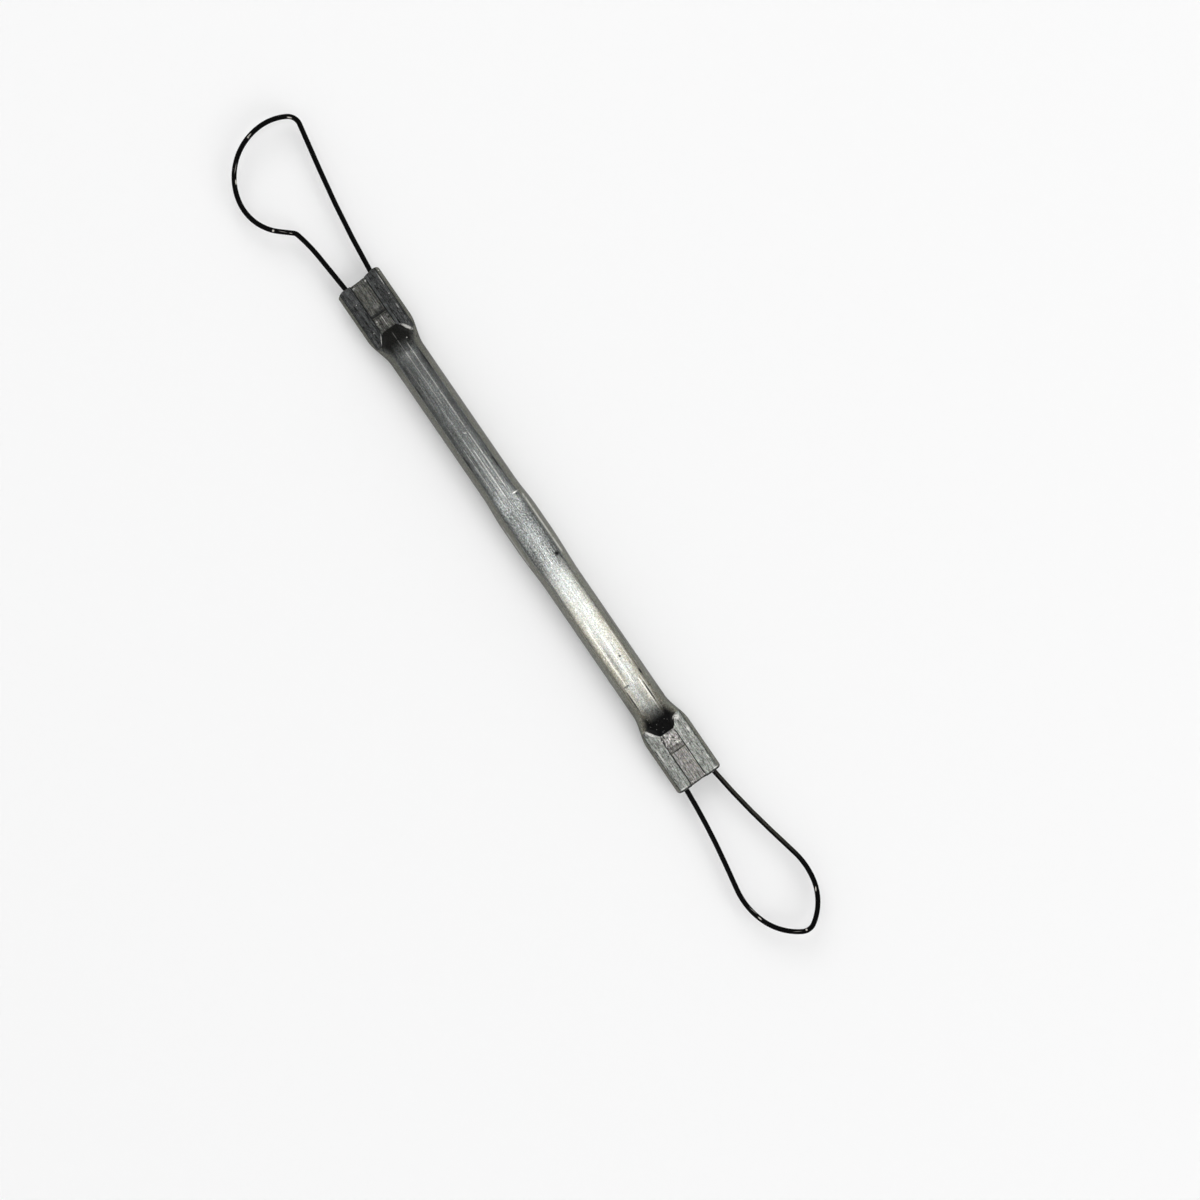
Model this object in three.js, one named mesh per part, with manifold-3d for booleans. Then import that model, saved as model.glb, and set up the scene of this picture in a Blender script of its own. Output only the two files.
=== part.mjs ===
// Mirette tool: a thin-wall tube, flattened and crimped at both ends over the legs of two bent wire loops.
// Millimetres, +Z up. X runs along the handle, and the origin is on the tube's axis midway along it.
// The crimps face +Z. The square-ended loop points to -X and the pear-shaped loop to +X.

import * as THREE from 'three';
import { mergeVertices } from 'three/addons/utils/BufferGeometryUtils.js';
import Module from 'manifold-3d';

const wasm = await Module();
wasm.setup();

// Tube
const handleLength = 115.2;
const tubeRadius = 3.97;
const wall = 0.8;

// Each half was gripped while its end was pressed, which left it a little narrow and square-sided.
// Squareness is the exponent of the section's curve: 2 is round, and more is squarer.
const gripSqueeze = 0.33;
const grippedSquareness = 2.3;
const roundSquareness = 2;

// Between the grips the tube is still round. These are places along X.
const leftGripEdge = -9.9;
const roundFrom = -3.2;
const roundTo = 1.9;
const rightGripEdge = 12;

// Pressed ends, seen from above: how far the sides spread, the corners, and the slightly hollow mouths.
// The left mouth is also out of square, further in on its -Y side.
const flatSpread = 0.87;
const endCornerRadius = 0.7;
const leftMouthBow = 0.3;
const rightMouthBow = 0.1;
const leftMouthSkew = 0.35;
const mouthBowDepth = 3;

// Crimp punched into the top of each pressed end: a channel, a rounded step, and a bridge behind it
const channelLength = 7.3;
const channelOffset = -0.12;
const stepLength = 1.2;
const bridgeLength = 2.3;
const bridgeDrop = 0.15;

// Neck, from the bridge back to the gripped half. The foot of its slope is bowed, and so lies further
// from the mouth towards the sides: by the bow times the square of the distance out, up to the reach.
const footBehindBridge = 0.1;
const slopeAngle = THREE.MathUtils.degToRad(36);
const footBow = 0.2;
const footBowReach = 3.3;
const footBowLead = 1.9;
const neckLength = 6.3;
const pressedEdgeSoftness = 0.35;
const boreEndBehindFoot = 0.3;

// Wire, and the seats that its legs lie in
const wireDiameter = 1;
const legInsertion = 11.6;
const mouthBendRadius = 10;
const seatClearance = 0.04;
const seatWidth = 1.79;
const seatWeb = 0.33;
const foldThickening = 0.15;
const seatOverlap = 0.4;

// Square-ended loop: radii in the order in which the wire is bent, from the straight side to the waist
const straightSideBow = 215;
const tipCornerRadius = 2.5;
const bulgeShoulderRadius = 9.9;
const bulgeRadius = 11.9;
const heelRadius = 9.4;
const waistRadius = 1.5;
const waistEaseRadius = 34;
const waistLegRun = 7.7;

// Pear-shaped loop: radii on its right and its left, looking out of the handle
const rightLegBow = 136;
const rightBellyRadius = 14.5;
const rightCheekRadius = 11.7;
const pearTipRadius = 2.5;
const leftCheekRadius = 11;
const leftBellyRadius = 15.3;
const leftLegBow = 154;

// Each loop is written from the leg on its right to the leg on its left, looking out of the handle.
// A leg's place is 0 at the inner side of its seat and 1 at the outer side, and its splay is the angle
// at which it leaves the mouth. A bend has a radius and a turn in degrees, positive to the left. What is
// fitted is worked out: one turn, which brings the wire back parallel to itself, and two runs.
const fitted = 'fitted';

const squareLoop = {
  rightLeg: { place: 0.66, splay: 5.1 },
  leftLeg: { place: 0.08, splay: 4.7 },
  moves: [
    { radius: straightSideBow, turn: -5.7 },
    { run: fitted },
    { radius: tipCornerRadius, turn: 70.6 },
    { radius: bulgeShoulderRadius, turn: 31.9 },
    { radius: bulgeRadius, turn: fitted },
    { radius: heelRadius, turn: 59.6 },
    { run: fitted },
    { radius: waistRadius, turn: -34.5 },
    { radius: waistEaseRadius, turn: -9.7 },
    { run: waistLegRun },
  ],
};

const pearLoop = {
  rightLeg: { place: 0.69, splay: 3.5 },
  leftLeg: { place: 0.68, splay: 6.5 },
  moves: [
    { radius: rightLegBow, turn: -6.6 },
    { run: fitted },
    { radius: rightBellyRadius, turn: 30.2 },
    { radius: rightCheekRadius, turn: 39.6 },
    { radius: pearTipRadius, turn: fitted },
    { radius: leftCheekRadius, turn: 45.9 },
    { radius: leftBellyRadius, turn: 22.7 },
    { run: fitted },
    { radius: leftLegBow, turn: -5.8 },
  ],
};

// Fineness of the facets
const skinSides = 56;
const boreSides = 32;
const wireSides = 12;
const bendStep = 7;
const arcSteps = 8;
const slopeRings = 10;

// Sizes that follow from the ones above
const endFace = handleLength / 2;
const wireRadius = wireDiameter / 2;
const grippedHalfWidth = tubeRadius - gripSqueeze;
const flatHalfWidth = tubeRadius + flatSpread;
const landHeight = wall + wireRadius;
const seatHalfHeight = wireRadius + seatClearance;
const seatOuterEdge = flatHalfWidth - wall - foldThickening;
const seatInnerEdge = seatOuterEdge - seatWidth;
const channelWidth = 2 * (seatInnerEdge - seatWeb - Math.abs(channelOffset));
const channelFloor = 2 * wall - landHeight;
const bridgeStart = channelLength + stepLength;
const bridgeEnd = bridgeStart + bridgeLength;
const bridgeHeight = landHeight - bridgeDrop;
const slopeFoot = bridgeEnd + footBehindBridge;
const neckEnd = slopeFoot + neckLength;
const footBowStart = slopeFoot - footBowLead;
const boreEnd = slopeFoot + boreEndBehindFoot;
const seatDepth = boreEnd + footBow * footBowReach ** 2 + seatOverlap;
const cutterOverrun = 1;

// Helpers

function spread(from, to, steps) {
  return Array.from({ length: steps + 1 }, (_, step) => THREE.MathUtils.lerp(from, to, step / steps));
}

function softMin(a, b, softness) {
  const closeness = Math.max(softness - Math.abs(a - b), 0) / softness;
  return Math.min(a, b) - closeness * closeness * softness / 4;
}

function toSolid(geometry) {
  const bare = geometry.clone();
  bare.deleteAttribute('normal');
  bare.deleteAttribute('uv');
  const merged = mergeVertices(bare, 1e-5);
  return new wasm.Manifold(new wasm.Mesh({
    numProp: 3,
    vertProperties: merged.attributes.position.array,
    triVerts: Uint32Array.from(merged.index.array),
  }));
}

function toGeometry(solid) {
  const mesh = solid.getMesh();
  const geometry = new THREE.BufferGeometry();
  geometry.setAttribute('position', new THREE.BufferAttribute(mesh.vertProperties, 3));
  geometry.setIndex(new THREE.BufferAttribute(mesh.triVerts, 1));
  geometry.computeVertexNormals();
  return geometry;
}

// Joins rings of equally many points into a closed skin. Each end is closed by rungs between the points
// of the upper and the lower half of its ring.
function skinOverRings(rings) {
  const sides = rings[0].length;
  const lastRing = (rings.length - 1) * sides;
  const triangles = [];
  for (let side = 0; side < sides; side += 1) {
    const next = (side + 1) % sides;
    for (let ring = 0; ring < lastRing; ring += sides) {
      triangles.push(ring + side, ring + next, ring + sides + side);
      triangles.push(ring + next, ring + sides + next, ring + sides + side);
    }
  }
  for (let rung = 0; rung < sides / 2 - 1; rung += 1) {
    const [a, b, c, d] = [rung, rung + 1, sides - 2 - rung, sides - 1 - rung];
    triangles.push(a, c, b, a, d, c);
    triangles.push(lastRing + a, lastRing + b, lastRing + c);
    triangles.push(lastRing + a, lastRing + c, lastRing + d);
  }
  const geometry = new THREE.BufferGeometry().setFromPoints(rings.flat());
  geometry.setIndex(triangles);
  geometry.computeVertexNormals();
  return geometry;
}

// Handle. A distance is counted inwards from the nearer end face.

// 1 where the tube was gripped, 0 where it kept its round section
function gripAt(x) {
  const left = 1 - THREE.MathUtils.smoothstep(x, leftGripEdge, roundFrom);
  const right = THREE.MathUtils.smoothstep(x, roundTo, rightGripEdge);
  return Math.max(left, right);
}

// 1 in the pressed end, 0 behind the neck
function pressAt(distance) {
  return 1 - THREE.MathUtils.smoothstep(distance, slopeFoot, neckEnd);
}

function halfWidthAt(x, distance) {
  const tube = THREE.MathUtils.lerp(tubeRadius, grippedHalfWidth, gripAt(x));
  const width = THREE.MathUtils.lerp(tube, flatHalfWidth, pressAt(distance));
  const corner = Math.max(endCornerRadius - distance, 0);
  return width - endCornerRadius + Math.sqrt(endCornerRadius ** 2 - corner ** 2);
}

// Half the height without the jaws: as the tube widens, the oval keeps its girth and gets lower
function ovalHalfHeightAt(distance) {
  const widestOval = Math.sqrt(2 * tubeRadius ** 2 - flatHalfWidth ** 2);
  return THREE.MathUtils.lerp(tubeRadius, widestOval, pressAt(distance));
}

// Half the height between the jaws: level over the pressed end, then the slope of the neck
function jawHalfHeightAt(distance) {
  return landHeight + Math.tan(slopeAngle) * Math.max(distance - slopeFoot, 0);
}

// How far in the mouth lies, across from -1 at its -Y side to 1 at its +Y side
function mouthHollowAt(x, distance, across) {
  const bow = x < 0 ? leftMouthBow : rightMouthBow;
  const skew = x < 0 ? leftMouthSkew : 0;
  const share = Math.max(1 - distance / mouthBowDepth, 0);
  return share * (bow * (1 - across ** 2) + skew * (1 - across) / 2);
}

// The rings are bowed like the foot of the slope, so that the foot lies along one of them
function footBowAt(distance, across) {
  const rise = (distance - footBowStart) / (slopeFoot - footBowStart);
  const fall = (neckEnd - distance) / (neckEnd - slopeFoot);
  const share = THREE.MathUtils.clamp(Math.min(rise, fall), 0, 1);
  return share * footBow * Math.min(Math.abs(across), footBowReach) ** 2;
}

// One ring of the tube's wall, at its outside or inset from it
function wallRing(x, inset, sides) {
  const end = x < 0 ? -1 : 1;
  const distance = endFace - Math.abs(x);
  const squaring = gripAt(x) * (1 - pressAt(distance));
  const roundness = 2 / THREE.MathUtils.lerp(roundSquareness, grippedSquareness, squaring);
  const ring = [];
  for (let side = 0; side < sides; side += 1) {
    const angle = 2 * Math.PI * (side + 0.5) / sides;
    const [cosine, sine] = [Math.cos(angle), Math.sin(angle)];
    const bow = footBowAt(distance, flatHalfWidth * cosine);
    const halfWidth = halfWidthAt(x, distance + bow) - inset;
    const y = halfWidth * Math.sign(cosine) * Math.abs(cosine) ** roundness;
    const oval = (ovalHalfHeightAt(distance + bow) - inset) * Math.abs(sine) ** roundness;
    const z = Math.sign(sine) * softMin(oval, jawHalfHeightAt(distance) - inset, pressedEdgeSoftness);
    const inwards = distance + bow + mouthHollowAt(x, distance, y / halfWidth);
    ring.push(new THREE.Vector3(end * (endFace - inwards), y, z));
  }
  return ring;
}

// The wall from end to end, starting and ending at a distance in from the end faces
function tubeWall(first, inset, sides) {
  const mouth = [0, 0.08, 0.3, 0.6, 1].map((share) => share * endCornerRadius);
  const flat = [mouthBowDepth, channelLength, footBowStart];
  const slope = spread(slopeFoot, neckEnd, slopeRings);
  const distances = [first, ...[...mouth, ...flat, ...slope].filter((distance) => distance > first)];
  const middle = [...spread(leftGripEdge, roundFrom, 5), ...spread(roundTo, rightGripEdge, 6)];
  const places = [
    ...distances.map((distance) => distance - endFace),
    ...middle,
    ...distances.map((distance) => endFace - distance).reverse(),
  ];
  return skinOverRings(places.map((x) => wallRing(x, inset, sides)));
}

// The punch, seen from the side and drawn out over the channel's width
function crimpPunch() {
  const above = tubeRadius + cutterOverrun;
  const stepHeight = bridgeHeight - channelFloor;
  const side = new THREE.Shape();
  side.moveTo(-cutterOverrun, channelFloor);
  side.lineTo(channelLength, channelFloor);
  side.absellipse(bridgeStart, channelFloor, stepLength, stepHeight, Math.PI, Math.PI / 2, true);
  side.lineTo(bridgeEnd, bridgeHeight);
  side.lineTo(bridgeEnd, above);
  side.lineTo(-cutterOverrun, above);
  const punch = new THREE.ExtrudeGeometry(side, {
    depth: channelWidth,
    bevelEnabled: false,
    curveSegments: arcSteps,
  });
  punch.translate(0, 0, -channelWidth / 2);
  punch.rotateX(Math.PI / 2);
  return punch;
}

// The room left for a leg between the pressed walls, open at the mouth and into the bore
function legSeat() {
  const section = new THREE.Shape();
  const [down, up] = [-Math.PI / 2, Math.PI / 2];
  section.absarc(seatInnerEdge + seatHalfHeight, 0, seatHalfHeight, up, 3 * up, false);
  section.absarc(seatOuterEdge - seatHalfHeight, 0, seatHalfHeight, down, up, false);
  const seat = new THREE.ExtrudeGeometry(section, {
    depth: seatDepth + cutterOverrun,
    bevelEnabled: false,
    curveSegments: arcSteps,
  });
  const alongX = new THREE.Matrix4().makeBasis(
    new THREE.Vector3(0, 1, 0),
    new THREE.Vector3(0, 0, 1),
    new THREE.Vector3(1, 0, 0),
  );
  seat.applyMatrix4(alongX);
  seat.translate(-cutterOverrun, 0, 0);
  return seat;
}

function handleTube() {
  let tube = toSolid(tubeWall(0, 0, skinSides));
  tube = tube.subtract(toSolid(tubeWall(boreEnd, wall, boreSides)));
  for (const end of [-1, 1]) {
    const facing = end < 0 ? 0 : Math.PI;
    const punch = crimpPunch();
    punch.rotateZ(facing);
    punch.translate(end * endFace, channelOffset, 0);
    tube = tube.subtract(toSolid(punch));
    for (const roll of [0, Math.PI]) {
      const seat = legSeat();
      seat.rotateX(roll);
      seat.rotateZ(facing);
      seat.translate(end * endFace, 0, 0);
      tube = tube.subtract(toSolid(seat));
    }
  }
  return toGeometry(tube);
}

// Loops. In a loop's own frame x points out of the handle, and x = 0 is the end face.

// Follows the moves from the inner end of one leg, and returns the stations of the wire's centre line
function followMoves(start, moves) {
  const here = start.clone();
  let heading = 0;
  const stations = [{ point: here.clone(), heading }];
  for (const move of moves) {
    if (move.run !== undefined) {
      here.x += move.run * Math.cos(heading);
      here.y += move.run * Math.sin(heading);
      stations.push({ point: here.clone(), heading });
      continue;
    }
    const turn = THREE.MathUtils.degToRad(move.turn);
    const steps = Math.max(2, Math.ceil(Math.abs(move.turn) / bendStep));
    const radius = move.radius * Math.sign(turn);
    const centre = new THREE.Vector2(-Math.sin(heading), Math.cos(heading)).multiplyScalar(radius).add(here);
    for (let step = 1; step <= steps; step += 1) {
      const angle = heading + turn * step / steps;
      here.set(centre.x + radius * Math.sin(angle), centre.y - radius * Math.cos(angle));
      stations.push({ point: here.clone(), heading: angle });
    }
    heading += turn;
  }
  return stations;
}

// Works out the fitted turn and the two fitted runs, so that the wire ends in the seat of its left leg
function fitMoves(start, end, moves) {
  const halfTurn = 180;
  const turned = moves.reduce((sum, move) => sum + (move.turn > -halfTurn ? move.turn : 0), 0);
  const shaped = moves.map((move) => ({
    ...move,
    ...(move.turn === fitted && { turn: halfTurn - turned }),
    ...(move.run === fitted && { run: 0 }),
  }));
  const runs = moves.flatMap((move, index) => (move.run === fitted ? [index] : []));
  const directions = runs.map((index) => {
    const { heading } = followMoves(start, shaped.slice(0, index)).at(-1);
    return new THREE.Vector2(Math.cos(heading), Math.sin(heading));
  });
  const miss = end.clone().sub(followMoves(start, shaped).at(-1).point);
  const crossing = directions[0].cross(directions[1]);
  shaped[runs[0]].run = miss.cross(directions[1]) / crossing;
  shaped[runs[1]].run = directions[0].cross(miss) / crossing;
  return shaped;
}

function wireLoop({ rightLeg, leftLeg, moves }) {
  const innerCentre = seatInnerEdge + seatHalfHeight;
  const outerCentre = seatOuterEdge - seatHalfHeight;
  const legOffset = (leg) => THREE.MathUtils.lerp(innerCentre, outerCentre, leg.place);
  const heldRun = (leg) => legInsertion - mouthBendRadius * Math.sin(THREE.MathUtils.degToRad(leg.splay));
  const start = new THREE.Vector2(-legInsertion, -legOffset(rightLeg));
  const end = new THREE.Vector2(-legInsertion, legOffset(leftLeg));
  const allMoves = fitMoves(start, end, [
    { run: heldRun(rightLeg) },
    { radius: mouthBendRadius, turn: -rightLeg.splay },
    ...moves,
    { radius: mouthBendRadius, turn: -leftLeg.splay },
    { run: heldRun(leftLeg) },
  ]);
  const rings = followMoves(start, allMoves).map(({ point, heading }) => {
    const ring = [];
    for (let side = 0; side < wireSides; side += 1) {
      const angle = 2 * Math.PI * side / wireSides;
      const across = wireRadius * Math.cos(angle);
      ring.push(new THREE.Vector3(
        point.x - across * Math.sin(heading),
        point.y + across * Math.cos(heading),
        wireRadius * Math.sin(angle),
      ));
    }
    return ring;
  });
  return skinOverRings(rings);
}

// Assembly

function pressedAluminium() {
  return new THREE.MeshStandardMaterial({ color: 0x8f9496, roughness: 0.42, metalness: 0.9 });
}

function blackenedSpringWire() {
  return new THREE.MeshStandardMaterial({ color: 0x161514, roughness: 0.35, metalness: 0.8 });
}

const handle = new THREE.Mesh(handleTube(), pressedAluminium());
handle.name = 'handle_tube';

const squareEndLoop = new THREE.Mesh(wireLoop(squareLoop), blackenedSpringWire());
squareEndLoop.name = 'square_end_loop';
squareEndLoop.position.x = -endFace;
squareEndLoop.rotation.z = Math.PI;

const pearEndLoop = new THREE.Mesh(wireLoop(pearLoop), blackenedSpringWire());
pearEndLoop.name = 'pear_loop';
pearEndLoop.position.x = endFace;

const miretteTool = new THREE.Group();
miretteTool.name = 'mirette_tool';
miretteTool.add(handle, squareEndLoop, pearEndLoop);

export default miretteTool;
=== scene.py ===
import math
from types import SimpleNamespace
import bmesh
import bpy
import numpy as np
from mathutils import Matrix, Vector


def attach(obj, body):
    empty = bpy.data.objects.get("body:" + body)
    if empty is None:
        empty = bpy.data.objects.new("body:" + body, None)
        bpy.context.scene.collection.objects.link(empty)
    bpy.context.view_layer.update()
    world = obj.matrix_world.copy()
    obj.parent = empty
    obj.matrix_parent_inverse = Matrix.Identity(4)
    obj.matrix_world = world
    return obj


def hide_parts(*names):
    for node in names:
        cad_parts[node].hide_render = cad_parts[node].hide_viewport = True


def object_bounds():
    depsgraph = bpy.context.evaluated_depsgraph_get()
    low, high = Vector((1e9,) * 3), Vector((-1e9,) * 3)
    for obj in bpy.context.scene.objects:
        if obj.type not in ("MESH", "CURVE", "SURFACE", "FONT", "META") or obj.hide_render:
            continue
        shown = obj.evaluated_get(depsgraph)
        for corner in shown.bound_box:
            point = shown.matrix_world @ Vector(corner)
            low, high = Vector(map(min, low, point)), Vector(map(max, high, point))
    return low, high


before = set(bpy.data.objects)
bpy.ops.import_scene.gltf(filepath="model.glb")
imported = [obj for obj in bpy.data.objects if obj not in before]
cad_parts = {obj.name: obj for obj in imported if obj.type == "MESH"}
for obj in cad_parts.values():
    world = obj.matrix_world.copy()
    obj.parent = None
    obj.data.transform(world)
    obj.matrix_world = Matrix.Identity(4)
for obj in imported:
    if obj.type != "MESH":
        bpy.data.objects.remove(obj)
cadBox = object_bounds()
print("frame loaded:", ", ".join(sorted(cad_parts)))

mm = 0.001   # the shapes below are worked out in millimetres and made in metres

camera = {
    "target": (18.596, 3.725),   # the place on the tool that is in the middle of the picture
    "turn": 55.506,              # degrees about Z
    "height": 560.0,
    "width": 227.7,              # what the picture spans at the tool's axis
    "sensor": 36.0,
    "clip": (0.01, 50.0),        # in metres
}


def addCamera():
    lens = bpy.data.cameras.new("camera")
    lens.sensor_width = camera["sensor"]
    lens.lens = camera["sensor"] * camera["height"] / camera["width"]
    lens.clip_start, lens.clip_end = camera["clip"]
    viewer = bpy.data.objects.new("camera", lens)
    viewer.location = Vector((*camera["target"], camera["height"])) * mm
    viewer.rotation_euler = (0.0, 0.0, math.radians(camera["turn"]))
    bpy.context.scene.collection.objects.link(viewer)
    bpy.context.scene.camera = viewer


addCamera()


class Flow:   # a socket of a node tree, used in plain maths
    def __init__(self, socket):
        self.socket = socket

    def node(self, kind, settings, inputs, output=0):   # settings are set first, then the sockets
        tree = self.socket.id_data
        made = tree.nodes.new("ShaderNode" + kind)
        for name, value in settings.items():
            setattr(made, name, value)
        for name, value in inputs.items():
            if isinstance(value, Flow):
                tree.links.new(value.socket, made.inputs[name])
            else:
                made.inputs[name].default_value = value
        return Flow(made.outputs[output]) if len(made.outputs) else None

    def maths(self, operation, first, second=0.0):
        return self.node("Math", {"operation": operation}, {0: first, 1: second})

    def __add__(self, other):
        return self.maths("ADD", self, other)

    def __sub__(self, other):
        return self.maths("SUBTRACT", self, other)

    def __rsub__(self, other):
        return self.maths("SUBTRACT", other, self)

    def __mul__(self, other):
        return self.maths("MULTIPLY", self, other)

    def __abs__(self):
        return self.maths("ABSOLUTE", self)

    __radd__ = __add__
    __rmul__ = __mul__

    def step(self, low, high):   # 0 below low, 1 above high, smooth between; the other way round if high < low
        inputs = {"Value": self, "From Min": low, "From Max": high}
        return self.node("MapRange", {"interpolation_type": "SMOOTHSTEP"}, inputs)

    def within(self, low, high, soft):   # 1 between low and high, with soft ends
        return self.step(low - soft, low + soft) * self.step(high + soft, high - soft)

    def near(self, middle, reach):   # 1 at middle, 0 from reach on
        return abs(self - middle).step(reach, 0.0)

    def most(self, other):
        return self.maths("MAXIMUM", self, other)


def split(vector):
    return [vector.node("SeparateXYZ", {}, {0: vector}, axis) for axis in "XYZ"]


def power(value, exponent):
    return value.maths("POWER", value, exponent)


studio = {
    "skyHorizon": 0.3,         # how bright the sky is at the horizon, and where it is brightest
    "skyZenith": 0.64,
    "skyLean": 12.0,           # degrees that the brightest part leans towards +Y
    "skyFade": 4.0,            # how fast it fades towards the horizon
    "endGlow": 0.6,            # how much brighter it is towards both ends of the handle
    "endGlowFrom": (0.5, 0.8),
    "bandStrength": 5.4,       # a bright soft band across the sky, mirrored as the highlight on the handle
    "bandPlace": 20.5,         # where the handle mirrors the middle of the band into the camera
    "bandReach": 44.0,         # and how far along the handle it fades out
    "bandPeak": 2.3,           # how far its light gathers in the middle
    "bandFade": 1.1,           # how fast it fades towards the horizon
    "floorTone": 0.95,
    "floorRoughness": 0.9,
    "floorSize": 14.0,         # this and the lamps' sizes are in metres
    "lampWatts": 8.3,
    "lampSize": (1.2, 1.2),
    "lampDistance": 1.8,
    "lampRise": 45.0,          # degrees above the floor
    "lampTurns": (20.0, 160.0),
}


def addSky():
    world = bpy.data.worlds.new("studio")
    world.use_nodes = True
    tree = world.node_tree
    tree.nodes.clear()
    direction = Flow(tree.nodes.new("ShaderNodeTexCoord").outputs["Generated"])
    along, side, up = split(direction)
    lean = math.radians(studio["skyLean"])
    rise = (up * math.cos(lean) + side * math.sin(lean)).most(0.0)
    tone = power(rise, studio["skyFade"]) * (studio["skyZenith"] - studio["skyHorizon"]) + studio["skyHorizon"]
    middle = (studio["bandPlace"] - camera["target"][0]) / camera["height"]
    band = (1.0 - abs(along - middle) * (camera["height"] / studio["bandReach"])).most(0.0)
    tone = tone + abs(along).step(*studio["endGlowFrom"]) * studio["endGlow"]
    tone = tone + power(band, studio["bandPeak"]) * power(up.most(0.0), studio["bandFade"]) * studio["bandStrength"]
    light = tone.node("Background", {}, {"Color": (1.0, 1.0, 1.0, 1.0), "Strength": tone})
    light.node("OutputWorld", {}, {"Surface": light})
    bpy.context.scene.world = world


def addLamp(name, place, rotation, watts, size):
    lamp = bpy.data.lights.new(name, "AREA")
    lamp.shape = "RECTANGLE"
    lamp.size, lamp.size_y = size
    lamp.energy = watts
    holder = bpy.data.objects.new(name, lamp)
    holder.location = place
    holder.rotation_euler = rotation
    holder.visible_glossy = False   # the metal mirrors the sky alone, and the lamps light the floor
    bpy.context.scene.collection.objects.link(holder)


def addLamps():
    rise = math.radians(studio["lampRise"])
    for number, turn in enumerate(studio["lampTurns"]):
        around = math.radians(turn)
        out = Vector((math.cos(around) * math.cos(rise), math.sin(around) * math.cos(rise), math.sin(rise)))
        aim = (-out).to_track_quat("-Z", "Y").to_euler()
        addLamp(f"lamp_{number}", out * studio["lampDistance"], aim, studio["lampWatts"], studio["lampSize"])


def addFloor():
    half = studio["floorSize"] / 2
    level = cadBox[0].z
    corners = [(-half, -half, level), (half, -half, level), (half, half, level), (-half, half, level)]
    mesh = bpy.data.meshes.new("floor")
    mesh.from_pydata(corners, [], [(0, 1, 2, 3)])
    floor = bpy.data.objects.new("floor", mesh)
    bpy.context.scene.collection.objects.link(floor)
    paper = bpy.data.materials.new("floor_paper")
    paper.use_nodes = True
    coat = paper.node_tree.nodes["Principled BSDF"]
    tone = studio["floorTone"]
    coat.inputs["Base Color"].default_value = (tone, tone, tone, 1.0)
    coat.inputs["Roughness"].default_value = studio["floorRoughness"]
    coat.inputs["Specular IOR Level"].default_value = 0.0
    mesh.materials.append(paper)


addSky()
addLamps()
addFloor()
bpy.context.scene.view_settings.view_transform = "Standard"
print("studio set")


# the handle is one tube, gripped along both halves and pressed flat at both ends
tube = {
    "length": 115.2,
    "radius": 3.962,
    "cadRadius": 3.97,
    "gripSqueeze": 0.33,
    "grippedSquareness": 2.3,
    "leftGripEdge": -9.9,
    "roundFrom": -3.2,
    "roundTo": 1.9,
    "rightGripEdge": 12.0,
    "ringSpacing": 0.6,
    "columnSpacing": 2.0,      # degrees round the section
    "columnGap": 0.6,          # no even column comes this close to one of a channel wall's, also in degrees
    "sharpAngle": 50.0,        # edges that turn by more stay sharp, on the wires too
}

# places along are distances from the mouth
pressedEnd = {
    "spread": 0.87,            # how much wider than the tube it is, on either side
    "landHeight": 1.3,
    "slopeFoot": 10.9,         # where the width begins to narrow
    "jawFoot": 11.2,           # where the top begins to rise
    "slopeAngle": 36.0,
    "neckLength": 6.3,
    "edgeSoftness": 0.35,
    "kneeSoftness": 0.95,      # more of it where the slope runs out into the tube
    "kneeFrom": (11.4, 13.6),
    "footStraight": 1.5,       # half of the part that runs straight across, with a slant on either side
    "footSlant": 1.25,
    "footBend": 0.05,          # rounds the corner between the two
    "footReach": 3.3,
    "footBowLead": 1.9,
    "cornerRadius": 0.7,
    "cornerFrom": 3.0,         # the corners are turned from this far out
    "cornerHold": 1.0,         # and this far in
    "rimRadius": 0.13,
    "fineReach": 17.6,
    "fineFrom": 0.82,
    "fineSpacing": 0.15,
    "faceLevels": 8,
}
rimRings = [0.0, 0.01, 0.03, 0.06, 0.1, 0.14, 0.2, 0.3, 0.42, 0.56, 0.7]

# the open edge isn't quite straight, as seen from above
mouth = {
    "bow": {-1: 0.3, 1: 0.1},
    "skew": {-1: 0.35, 1: 0.0},
    "depth": 3.0,              # how far in the bow and the skew fade out
    "waves": ((0.04, 7.0), (0.025, 17.0)),
    "waveDepth": 1.4,
    "worn": (0.5, 0.05),       # how far the -Y corner is worn at the left end and at the right one
    "wornFrom": 0.72,
    "wornScale": 0.08,
}

crimp = {
    "channelHalfWidth": 1.65,
    "channelOffset": -0.12,
    "channelWallWidth": 0.2,
    "channelLength": {-1: 7.9, 1: 7.2},
    "channelFloor": 0.3,
    "bridgeStart": 8.5,
    "bridgeEnd": 10.8,
    "bridgeHeight": 1.15,
    "punchLift": 10.0,         # behind the bridge the punch is well clear of the metal
    "punchLiftOver": 0.25,
    "wallReach": 0.16,         # the columns at either side of a channel wall, and how many there are
    "wallColumns": 11,
}
stepRings = [-0.03, 0.0, 0.01, 0.03, 0.07, 0.12, 0.2]

# raised lips along the foot of the slope, as (end, side, from, to, height), across the handle
lips = [(-1, 1, 1.9, 3.5, 0.2), (-1, -1, 1.7, 3.2, 0.09), (1, 1, 2.3, 3.6, 0.18), (1, -1, 1.9, 3.5, 0.16)]
lipShape = {
    "lead": -0.22,             # from the foot
    "reach": 0.42,
    "taper": 0.5,
}

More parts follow.
